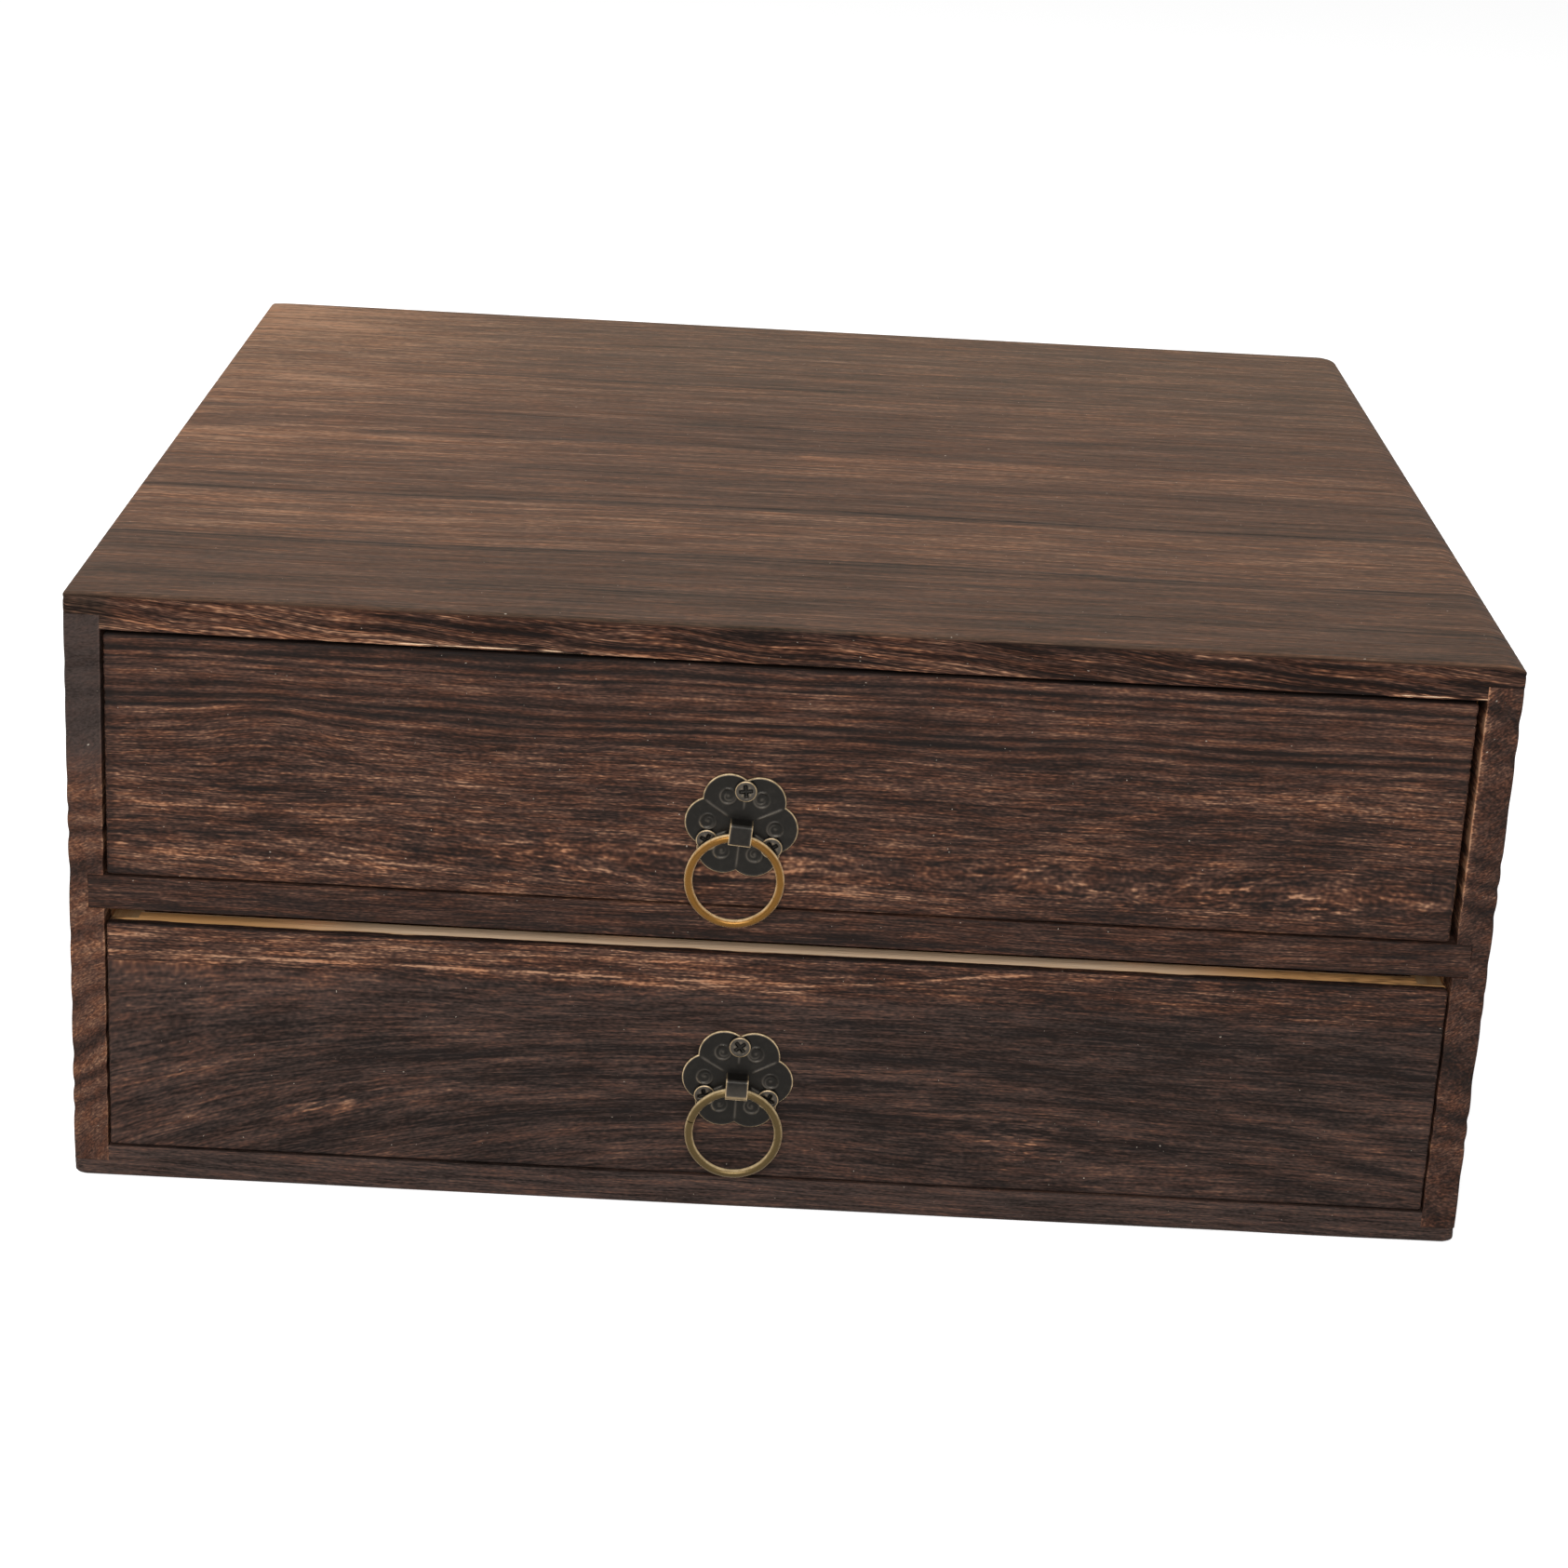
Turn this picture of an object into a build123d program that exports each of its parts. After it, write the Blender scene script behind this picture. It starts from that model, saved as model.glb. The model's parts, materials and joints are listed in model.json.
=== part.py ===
from build123d import *
import os
from collections import namedtuple
from math import cos, pi, radians, sin

# A tabletop storage box of burnt wood with two drawers. All sizes are in millimetres.
# X runs to the right, Y to the back and Z up. The origin lies on the surface that
# the box stands on, under the middle of the carcass.

# Carcass boards
case_width = 340.0
case_depth = 320.0
case_height = 150.0
side_thickness = 8.5
top_thickness = 9.0
bottom_thickness = 8.4
shelf_thickness = 8.6
lower_bay_height = 62.6
edge_radius = 1.8

# Joints of the carcass: rabbets under the top and over the bottom take the ends of
# the sides, and housings in the sides take the ends of the shelf
top_rabbet_depth = 3.5
bottom_rabbet_depth = 4.0
shelf_housing_depth = 3.8

# Back panel, let into a rebate and held by staples, with their crowns flush
back_thickness = 4.0
back_rebate_width = 4.0
back_panel_play = 0.3
staple_crown = 10.0
staple_leg_length = 12.0
staple_wire_width = 1.0
staple_wire_thickness = 0.6
staple_play = 0.1
staples_per_rail = 4
staple_rail_spacing = 95.0
staples_per_side = 2
staple_side_spacing = 60.0

# Drawer boards
front_thickness = 8.0
drawer_side_thickness = 7.0
drawer_back_thickness = 7.0
drawer_bottom_thickness = 3.0
front_edge_radius = 0.6
side_drop = 1.5
front_rabbet_depth = 4.0
rear_rabbet_depth = 3.0
groove_depth = 3.0
groove_height = 5.0
groove_play = 0.2

# Gaps between the drawers and their bays
running_gap = 0.4
drawer_rear_gap = 4.0
upper_left_gap = 0.7
upper_right_gap = 1.7
upper_top_gap = 0.7
lower_side_gap = 0.4
lower_top_gap = 3.5

# Places of the ring pulls on the drawer fronts: from the middle of the box, from
# the drawer's lower edge, and the turn in degrees as seen from the front
upper_pull_offset = -10.4
upper_pull_height = 20.9
upper_pull_turn = -4.5
lower_pull_offset = -8.3
lower_pull_height = 26.3
lower_pull_turn = -1.5

# Flower plate of a pull: round lobes about a middle, with a raised rib at each notch
lobe_count = 6
plate_width = 27.0
lobe_radius = 6.3
plate_thickness = 0.9
plate_chamfer = 0.3
relief_height = 0.2
rib_width = 0.5
rib_inner_radius = 3.8
rib_outer_radius = 10.6

# Screws of a pull
screw_count = 3
screw_circle_radius = 8.9
screw_head_diameter = 5.2
screw_head_height = 0.9
screw_diameter = 2.2
screw_length = 6.5
screw_hole_play = 0.1
screw_seat_play = 0.15
recess_span = 2.8
recess_width = 0.6
recess_depth = 0.6

# Ring of a pull: bent wire with its ends butted, round to within its facets
ring_diameter = 23.8
ring_wire_diameter = 2.0
ring_wire_facets = 8
ring_split_gap = 0.25
upper_split_angle = 90.0
lower_split_angle = 167.0
hinge_drop = 2.3
hinge_standoff = 3.2

# Strap of a pull: a flat strip looped round the ring's wire, with both ends pushed
# through the plate and the drawer front and bent flat on the inside
strap_width = 5.4
strap_thickness = 0.4
strap_wire_clearance = 0.5
strap_slot_rise = 1.2
strap_leg_gap = 0.1
strap_shoulder_radius = 0.8
strap_neck_radius = 0.6
strap_tail_radius = 0.5
strap_tail_length = 6.0
strap_slot_height = 1.6
strap_slot_play = 0.2

# Planes of the carcass that follow from the sizes above
half_width = case_width / 2
inner_half_width = half_width - side_thickness
front_y = -case_depth / 2
rear_y = case_depth / 2
back_panel_y = rear_y - back_thickness
top_underside = case_height - top_thickness
side_foot = bottom_thickness - bottom_rabbet_depth
side_head = top_underside + top_rabbet_depth
shelf_underside = bottom_thickness + lower_bay_height
shelf_top = shelf_underside + shelf_thickness
rebate_half_width = inner_half_width + back_rebate_width
rebate_foot = bottom_thickness - back_rebate_width
rebate_head = top_underside + back_rebate_width
rear_plane = Plane(
    origin=(0, rear_y, (rebate_foot + rebate_head) / 2), x_dir=(-1, 0, 0), z_dir=(0, 1, 0)
)

Drawer = namedtuple("Drawer", "name left right foot head pull split_angle")


def pull_plane(offset, height, turn):
    """Plane on the face of a drawer front at a pull's middle, looking out of the box."""
    return Plane(
        origin=(offset, front_y, height),
        x_dir=(cos(radians(turn)), 0, sin(radians(turn))),
        z_dir=(0, -1, 0),
    )


upper_foot = shelf_top + running_gap
lower_foot = bottom_thickness + running_gap
upper_drawer = Drawer(
    name="upper",
    left=-inner_half_width + upper_left_gap,
    right=inner_half_width - upper_right_gap,
    foot=upper_foot,
    head=top_underside - upper_top_gap,
    pull=pull_plane(upper_pull_offset, upper_foot + upper_pull_height, upper_pull_turn),
    split_angle=upper_split_angle,
)
lower_drawer = Drawer(
    name="lower",
    left=-inner_half_width + lower_side_gap,
    right=inner_half_width - lower_side_gap,
    foot=lower_foot,
    head=shelf_underside - lower_top_gap,
    pull=pull_plane(lower_pull_offset, lower_foot + lower_pull_height, lower_pull_turn),
    split_angle=lower_split_angle,
)
drawer_rear_y = back_panel_y - drawer_rear_gap
inside_front_y = front_y + front_thickness


def finish(name, label):
    """Label a finished piece and write it to a file of its own."""
    name.part.label = label
    export_step(name.part, f"parts/{label}.step")


def block(left, right, front, back, low, high, mode=Mode.ADD):
    """A square-edged length of board between six planes."""
    with Locations(((left + right) / 2, (front + back) / 2, (low + high) / 2)):
        Box(right - left, back - front, high - low, mode=mode)


def cut_back_rebate():
    """The rebate round the rear opening, which the back panel is let into."""
    block(
        -rebate_half_width, rebate_half_width, back_panel_y, rear_y,
        rebate_foot, rebate_head, Mode.SUBTRACT,
    )


def staple_group(play):
    """All the staples round the edge of the back panel, or with play their slots."""
    rail_span = rebate_head - rebate_foot - back_rebate_width
    side_span = 2 * rebate_half_width - back_rebate_width
    with BuildPart() as staple:
        with BuildSketch(Plane.XZ):
            Rectangle(
                staple_crown + 2 * play, staple_leg_length + play,
                align=(Align.CENTER, Align.MAX),
            )
            with Locations((0, -staple_wire_thickness)):
                Rectangle(
                    staple_crown - 2 * staple_wire_thickness - 2 * play, staple_leg_length + play,
                    align=(Align.CENTER, Align.MAX), mode=Mode.SUBTRACT,
                )
        extrude(amount=staple_wire_width / 2 + play, both=True)
    with BuildPart(rear_plane) as staples:
        with GridLocations(staple_rail_spacing, rail_span, staples_per_rail, 2):
            add(staple.part)
        with GridLocations(side_span, staple_side_spacing, 2, staples_per_side):
            add(staple.part, rotation=(0, 0, 90))
    return staples


def outer_uprights(name):
    """The upright edges at the four outside corners of the carcass."""
    return name.edges().filter_by(Axis.Z).filter_by(
        lambda edge: abs(abs(edge.center().X) - half_width) < edge_radius
        and abs(abs(edge.center().Y) - rear_y) < edge_radius
    )


# Carcass

def make_top_panel():
    """Top board, rabbeted over the ends of the sides."""
    with BuildPart() as top_panel:
        with BuildSketch(Plane.XZ.offset(-front_y)):
            with BuildLine():
                Polyline(
                    (-half_width, case_height), (half_width, case_height),
                    (half_width, side_head), (inner_half_width, side_head),
                    (inner_half_width, top_underside), (-inner_half_width, top_underside),
                    (-inner_half_width, side_head), (-half_width, side_head),
                    close=True,
                )
            make_face()
        extrude(amount=-case_depth)
        top_edges = top_panel.faces().sort_by(Axis.Z)[-1].edges()
        fillet(outer_uprights(top_panel) + top_edges, edge_radius)
        cut_back_rebate()
        add(staple_slots.part, mode=Mode.SUBTRACT)
    finish(top_panel, "top_panel")


def make_bottom_panel():
    """Bottom board, rabbeted under the ends of the sides."""
    with BuildPart() as bottom_panel:
        with BuildSketch(Plane.XZ.offset(-front_y)):
            with BuildLine():
                Polyline(
                    (-half_width, 0), (half_width, 0),
                    (half_width, side_foot), (inner_half_width, side_foot),
                    (inner_half_width, bottom_thickness), (-inner_half_width, bottom_thickness),
                    (-inner_half_width, side_foot), (-half_width, side_foot),
                    close=True,
                )
            make_face()
        extrude(amount=-case_depth)
        bottom_edges = bottom_panel.faces().sort_by(Axis.Z)[0].edges()
        fillet(outer_uprights(bottom_panel) + bottom_edges, edge_radius)
        cut_back_rebate()
        add(staple_slots.part, mode=Mode.SUBTRACT)
    finish(bottom_panel, "bottom_panel")


def make_side_panels():
    """Side boards, each with a housing across its inner face for the shelf."""
    housing_floor = inner_half_width + shelf_housing_depth
    with BuildPart() as right_side_panel:
        with BuildSketch(Plane.XZ.offset(-front_y)):
            with BuildLine():
                Polyline(
                    (half_width, side_foot), (half_width, side_head),
                    (inner_half_width, side_head), (inner_half_width, shelf_top),
                    (housing_floor, shelf_top), (housing_floor, shelf_underside),
                    (inner_half_width, shelf_underside), (inner_half_width, side_foot),
                    close=True,
                )
            make_face()
        extrude(amount=-case_depth)
        fillet(outer_uprights(right_side_panel), edge_radius)
        cut_back_rebate()
        add(staple_slots.part, mode=Mode.SUBTRACT)
    finish(right_side_panel, "right_side_panel")

    with BuildPart() as left_side_panel:
        mirror(right_side_panel.part, about=Plane.YZ)
    finish(left_side_panel, "left_side_panel")


def make_middle_shelf():
    """Shelf between the drawers, with its ends in the housings of the sides."""
    reach = inner_half_width + shelf_housing_depth
    with BuildPart() as middle_shelf:
        block(-reach, reach, front_y, back_panel_y, shelf_underside, shelf_top)
    finish(middle_shelf, "middle_shelf")


def make_back_panel():
    """Thin back panel in the rebate, with a slot for each staple."""
    with BuildPart() as back_panel:
        with BuildSketch(rear_plane):
            Rectangle(
                2 * (rebate_half_width - back_panel_play),
                rebate_head - rebate_foot - 2 * back_panel_play,
            )
        extrude(amount=-back_thickness)
        add(staple_slots.part, mode=Mode.SUBTRACT)
    finish(back_panel, "back_panel")


# Drawers

def make_drawer_front(drawer):
    """Drawer front: rabbeted ends, a groove for the bottom and the holes of the pull."""
    rabbet_y = front_y + front_rabbet_depth
    inside_left = drawer.left + drawer_side_thickness
    inside_right = drawer.right - drawer_side_thickness
    groove_low = drawer.foot + groove_height
    groove_high = groove_low + drawer_bottom_thickness + groove_play
    with BuildPart() as drawer_front:
        with BuildSketch(Plane.XY.offset(drawer.foot)):
            with BuildLine():
                Polyline(
                    (drawer.left, front_y), (drawer.right, front_y),
                    (drawer.right, rabbet_y), (inside_right, rabbet_y),
                    (inside_right, inside_front_y), (inside_left, inside_front_y),
                    (inside_left, rabbet_y), (drawer.left, rabbet_y),
                    close=True,
                )
            make_face()
        extrude(amount=drawer.head - drawer.foot)
        fillet(drawer_front.faces().sort_by(Axis.Y)[0].edges(), front_edge_radius)
        block(
            inside_left, inside_right, inside_front_y - groove_depth, inside_front_y,
            groove_low, groove_high, Mode.SUBTRACT,
        )
        with BuildSketch(drawer.pull) as strap_slot:
            with Locations((0, strap_slot_rise)):
                Rectangle(strap_width + 2 * strap_slot_play, strap_slot_height)
        extrude(strap_slot.sketch, amount=-front_thickness, mode=Mode.SUBTRACT)
        with BuildSketch(drawer.pull) as pilot_holes:
            with PolarLocations(screw_circle_radius, screw_count, start_angle=90):
                Circle(screw_diameter / 2 + screw_hole_play)
        extrude(
            pilot_holes.sketch,
            amount=plate_thickness - screw_length - screw_hole_play,
            mode=Mode.SUBTRACT,
        )
    finish(drawer_front, f"{drawer.name}_drawer_front")


def make_drawer_side(drawer, hand):
    """Drawer side: front end in the front's rabbet, rear end rabbeted, grooved for the bottom."""
    outside = drawer.left if hand == "left" else drawer.right
    inward = 1 if hand == "left" else -1
    inside = outside + inward * drawer_side_thickness
    front_end = front_y + front_rabbet_depth
    groove_low = drawer.foot + groove_height
    groove_high = groove_low + drawer_bottom_thickness + groove_play
    groove_floor = inside - inward * groove_depth
    rabbet_floor = inside - inward * rear_rabbet_depth
    with BuildPart() as drawer_side:
        block(
            *sorted((outside, inside)), front_end, drawer_rear_y,
            drawer.foot, drawer.head - side_drop,
        )
        block(
            *sorted((groove_floor, inside)), front_end, drawer_rear_y,
            groove_low, groove_high, Mode.SUBTRACT,
        )
        block(
            *sorted((rabbet_floor, inside)), drawer_rear_y - drawer_back_thickness, drawer_rear_y,
            groove_high, drawer.head - side_drop, Mode.SUBTRACT,
        )
    finish(drawer_side, f"{drawer.name}_drawer_{hand}_side")


def make_drawer_back(drawer):
    """Drawer back: stands over the bottom, with its ends in the rabbets of the sides."""
    set_in = drawer_side_thickness - rear_rabbet_depth
    foot = drawer.foot + groove_height + drawer_bottom_thickness + groove_play
    with BuildPart() as drawer_back:
        block(
            drawer.left + set_in, drawer.right - set_in,
            drawer_rear_y - drawer_back_thickness, drawer_rear_y,
            foot, drawer.head - side_drop,
        )
    finish(drawer_back, f"{drawer.name}_drawer_back")


def make_drawer_bottom(drawer):
    """Drawer bottom: a thin panel in the grooves of the front and the sides."""
    set_in = drawer_side_thickness - groove_depth + groove_play
    low = drawer.foot + groove_height
    with BuildPart() as drawer_bottom:
        block(
            drawer.left + set_in, drawer.right - set_in,
            inside_front_y - groove_depth + groove_play, drawer_rear_y,
            low, low + drawer_bottom_thickness,
        )
    finish(drawer_bottom, f"{drawer.name}_drawer_bottom")


# Ring pulls

def make_pull_plate(drawer):
    """Flower plate: round lobes with a bevelled rim, raised ribs, a slot and screw holes."""
    lobe_circle_radius = plate_width / 2 - lobe_radius
    rib_length = rib_outer_radius - rib_inner_radius
    rib_middle = (rib_outer_radius + rib_inner_radius) / 2
    notch_turn = 180 / lobe_count
    with BuildPart() as plate:
        with BuildSketch(drawer.pull):
            Circle(lobe_circle_radius)
            with PolarLocations(lobe_circle_radius, lobe_count):
                Circle(lobe_radius)
        extrude(amount=plate_thickness)
        chamfer(plate.faces().sort_by(Axis.Y)[0].edges(), plate_chamfer)
        with BuildSketch(drawer.pull.offset(plate_thickness)):
            with PolarLocations(rib_middle, lobe_count, start_angle=notch_turn):
                Rectangle(rib_length, rib_width)
            with PolarLocations(screw_circle_radius, screw_count, start_angle=90):
                Circle(screw_head_diameter / 2 + screw_seat_play, mode=Mode.SUBTRACT)
        extrude(amount=relief_height)
        with BuildSketch(drawer.pull) as openings:
            with Locations((0, strap_slot_rise)):
                Rectangle(strap_width + 2 * strap_slot_play, strap_slot_height)
            with PolarLocations(screw_circle_radius, screw_count, start_angle=90):
                Circle(screw_diameter / 2 + screw_hole_play)
        extrude(openings.sketch, amount=plate_thickness, mode=Mode.SUBTRACT)
    finish(plate, f"{drawer.name}_pull_plate")


def make_pull_screws(drawer):
    """Pan-head screws with a cross recess, their heads seated on the plate."""
    with BuildPart() as screw:
        with BuildSketch(Plane.XY):
            Circle(screw_head_diameter / 2)
        extrude(amount=screw_head_height)
        with BuildSketch(Plane.XY):
            Circle(screw_diameter / 2)
        extrude(amount=-screw_length)
        with BuildSketch(Plane.XY.offset(screw_head_height)):
            Rectangle(recess_span, recess_width)
            Rectangle(recess_width, recess_span)
        extrude(amount=-recess_depth, mode=Mode.SUBTRACT)
    with BuildPart(drawer.pull.offset(plate_thickness)) as screws:
        with PolarLocations(screw_circle_radius, screw_count, start_angle=90):
            add(screw.part)
    finish(screws, f"{drawer.name}_pull_screws")


def make_pull_ring(drawer):
    """Ring of round wire, bent round until its ends nearly meet."""
    wire_circle_radius = (ring_diameter - ring_wire_diameter) / 2
    gap_angle = ring_split_gap / (pi * 2 * wire_circle_radius) * 360
    ring_centre = drawer.pull.location * Pos(0, -hinge_drop - wire_circle_radius, hinge_standoff)
    ring_plane = Plane(ring_centre)
    end_plane = Plane(ring_centre * Rot(0, 0, drawer.split_angle + gap_angle / 2) * Rot(90, 0, 0))
    with BuildPart() as ring:
        with BuildSketch(end_plane):
            with Locations((wire_circle_radius, 0)):
                RegularPolygon(ring_wire_diameter / 2, ring_wire_facets)
        revolve(axis=Axis(ring_plane.origin, ring_plane.z_dir), revolution_arc=360 - gap_angle)
    finish(ring, f"{drawer.name}_pull_ring")


def make_pull_strap(drawer):
    """Flat strap: both ends run through the front together, and the loop hangs round the wire."""
    side_plane = Plane(origin=drawer.pull.origin, x_dir=drawer.pull.z_dir, z_dir=-drawer.pull.x_dir)
    loop_radius = ring_wire_diameter / 2 + strap_wire_clearance + strap_thickness / 2
    loop_front = hinge_standoff + loop_radius
    loop_back = hinge_standoff - loop_radius
    tail_out = -front_thickness - strap_thickness / 2
    upper_leg = strap_slot_rise + (strap_thickness + strap_leg_gap) / 2
    lower_leg = strap_slot_rise - (strap_thickness + strap_leg_gap) / 2
    with BuildPart() as strap:
        with BuildSketch(side_plane):
            with BuildLine() as middle_line:
                FilletPolyline(
                    (tail_out, upper_leg + strap_tail_length), (tail_out, upper_leg),
                    (loop_front, upper_leg), (loop_front, -hinge_drop),
                    radius=[strap_tail_radius, strap_shoulder_radius],
                )
                CenterArc((hinge_standoff, -hinge_drop), loop_radius, 0, -180)
                FilletPolyline(
                    (loop_back, -hinge_drop), (loop_back, lower_leg),
                    (tail_out, lower_leg), (tail_out, lower_leg - strap_tail_length),
                    radius=[strap_neck_radius, strap_tail_radius],
                )
            trace(line_width=strap_thickness)
        extrude(amount=strap_width / 2, both=True)
    finish(strap, f"{drawer.name}_pull_strap")


os.makedirs("parts", exist_ok=True)
staple_slots = staple_group(staple_play)
make_top_panel()
make_bottom_panel()
make_side_panels()
make_middle_shelf()
make_back_panel()
finish(staple_group(0), "back_panel_staples")
for each_drawer in (upper_drawer, lower_drawer):
    make_drawer_front(each_drawer)
    make_drawer_side(each_drawer, "left")
    make_drawer_side(each_drawer, "right")
    make_drawer_back(each_drawer)
    make_drawer_bottom(each_drawer)
    make_pull_plate(each_drawer)
    make_pull_screws(each_drawer)
    make_pull_ring(each_drawer)
    make_pull_strap(each_drawer)
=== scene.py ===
import json
from math import cos, pi, radians, sin

import bpy
import numpy as np
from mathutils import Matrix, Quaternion, Vector


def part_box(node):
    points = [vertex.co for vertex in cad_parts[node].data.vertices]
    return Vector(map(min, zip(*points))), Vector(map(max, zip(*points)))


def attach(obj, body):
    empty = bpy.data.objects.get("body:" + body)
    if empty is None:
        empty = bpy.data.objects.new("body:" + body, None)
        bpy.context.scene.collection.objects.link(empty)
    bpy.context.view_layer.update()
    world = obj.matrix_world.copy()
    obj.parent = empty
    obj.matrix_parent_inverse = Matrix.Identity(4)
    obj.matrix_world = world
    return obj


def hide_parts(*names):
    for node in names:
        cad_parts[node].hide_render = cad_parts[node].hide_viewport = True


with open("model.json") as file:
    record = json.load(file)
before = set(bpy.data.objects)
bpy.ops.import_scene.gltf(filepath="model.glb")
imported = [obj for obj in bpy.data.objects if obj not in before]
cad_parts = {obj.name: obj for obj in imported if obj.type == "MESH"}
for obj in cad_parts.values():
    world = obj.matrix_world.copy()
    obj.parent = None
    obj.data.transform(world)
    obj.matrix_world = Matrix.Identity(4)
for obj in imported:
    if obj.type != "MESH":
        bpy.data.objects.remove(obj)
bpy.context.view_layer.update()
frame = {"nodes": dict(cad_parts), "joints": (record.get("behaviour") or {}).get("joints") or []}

# Looks of a tabletop box of burnt and brushed wood with two drawers and antiqued ring pulls.
# Shapes are worked out in millimetres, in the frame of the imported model, and written in metres.

mm = 0.001

# Boards
bottom_radius = 1.5
shelf_radius = 0.5
side_radius = 0.8
front_edge_radius = 0.9
arc_rows = 3
step_gap = 0.002
shelf_housing_depth = 3.8
top_rabbet_depth = 3.5
back_rebate_width = 4.0
drawer_side_thickness = 7.0
front_rabbet_depth = 4.0
top_left_radius = 1.2
top_right_radius = 2.6
top_radius = 0.8
bottom_end_radius = 3.2
left_corner_drop = 0.3
right_corner_drop = 1.3
corner_drop_start = 164

# Depth under each board's show face that the rabbets and housings behind it leave alone
top_whole_depth = 3.0
bottom_whole_depth = 2.5
side_whole_depth = 2.0
front_whole_depth = 2.0

# The top board's looks: places along Y and the tone there, dark seams and their strength, and
# light streaks at the left of its front edge
top_staves = ((-160, 0.4), (-134, 0.4), (-131, 0.5), (-105, 0.45), (-101, 0.8), (-78, 1.0),
              (-62, 0.9), (-58, 0.5), (-24, 0.6), (-17, 0.9), (3, 1.0), (8, 0.5), (48, 0.7),
              (56, 0.9), (74, 0.85), (77, 1.2), (80, 0.65), (96, 0.75), (160, 0.95))
top_seams = ((-137, 0.5), (-103, 1.3), (-58, 1.0), (-24, 0.3), (6, 0.6), (30, 0.4), (79, 0.7))
top_edge_fall = 0.075
top_left_streaks = ((142.8, 1.6), (143.9, 1.2), (145.1, 0.9))

# Patches of the drawer fronts' wood: strength, X and Z of the middle, length and height. Tone
# patches are lighter or darker wood, and dash patches are where short light dashes gather
upper_patches = (
    (0.25, 108, 90, 48, 6), (0.40, -95, 88, 55, 5), (0.30, -10, 89, 50, 5),
    (0.15, -140, 104, 25, 6), (-0.40, 122, 101, 36, 5), (-1.60, -80, 139.3, 60, 1.5),
    (-0.50, -146, 82, 22, 2.2), (-0.30, -118, 110, 26, 5), (0.60, -140, 87, 28, 5),
    (0.25, -80, 108, 60, 7), (0.20, 145, 100, 20, 9),
)
upper_dash_patches = ((1.2, 105, 89, 55, 6), (0.6, -60, 88, 70, 6), (0.4, -90, 104, 50, 7))
lower_patches = (
    (0.35, -140, 56, 30, 8), (-0.25, -140, 20, 25, 6), (0.30, 146, 16, 24, 7),
    (-0.30, 95, 50, 48, 6), (-0.40, -100, 38, 40, 6), (-0.25, 30, 20, 24, 8),
)
lower_dash_patches = ((0.7, -42, 32, 26, 3), (1.0, 62, 22, 26, 9))

# The lower front's arches: how sharply they fall from their middle, and how far out they
# turn into straight lines
arch_middle = 12
arch_bend = 0.00105
arch_reach = 120

# Ring pulls
lobe_count = 6
plate_width = 27.0
lobe_radius = 6.3
plate_thickness = 0.9
plate_doming = 0.12
rib_inner_radius = 4.2
rib_outer_radius = 10.4
curl_circle_radius = 8.0
curl_radius = 1.9
screw_circle_radius = 8.9
screw_head_radius = 2.6
screw_head_height = 0.9
screw_shank_radius = 1.1
screw_taper_start = 5.0
screw_length = 6.5
recess_half_width = 0.40
recess_half_span = 1.55
recess_depth = 0.62
screw_turns = {"upper": (12, 70, 35), "lower": (40, 15, 64)}
ring_diameter = 23.8
ring_wire_radius = 1.0
ring_split_gap = 0.25
split_angles = {"upper": 90.0, "lower": 167.0}
hinge_drop = 2.3
hinge_standoff = 3.2
strap_width = 5.4
strap_thickness = 0.4
strap_wire_clearance = 0.5
strap_slot_rise = 1.2
strap_leg_gap = 0.1
strap_corner_radius = 0.12
strap_shoulder_radius = 0.8
strap_neck_radius = 0.6
strap_tail_radius = 0.5
strap_tail_length = 6.0
# How much brighter each strap's lower face is painted: partly worn brass, partly painted light on the
# lower pull's strap.
strap_face_brightening = {"upper": 0.02, "lower": 0.62}
front_thickness = 8.0


def node_box(node):
    """Lowest and highest corner of a CAD node, in millimetres."""
    low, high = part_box(node)
    return np.round(np.array(low) / mm, 3), np.round(np.array(high) / mm, 3)


# Node maths as Python expressions

class Socket:
    """An output in a material's node tree that takes part in Python expressions."""

    def __init__(self, paint, link):
        self.paint = paint
        self.link = link

    def maths(self, operation, *values):
        """One Math node on the values given."""
        return self.paint.node("ShaderNodeMath", {"operation": operation}, dict(enumerate(values)))

    def __add__(self, other):
        return self.maths("ADD", self, other)

    def __sub__(self, other):
        return self.maths("SUBTRACT", self, other)

    def __rsub__(self, other):
        return self.maths("SUBTRACT", other, self)

    def __mul__(self, other):
        return self.maths("MULTIPLY", self, other)

    def __truediv__(self, other):
        return self.maths("DIVIDE", self, other)

    __radd__ = __add__
    __rmul__ = __mul__

    def rise(self, start, end):
        """Smooth step from 0 at start to 1 at end."""
        settings = {"interpolation_type": "SMOOTHSTEP"}
        return self.paint.node("ShaderNodeMapRange", settings, {0: self, 1: start, 2: end})


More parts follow.
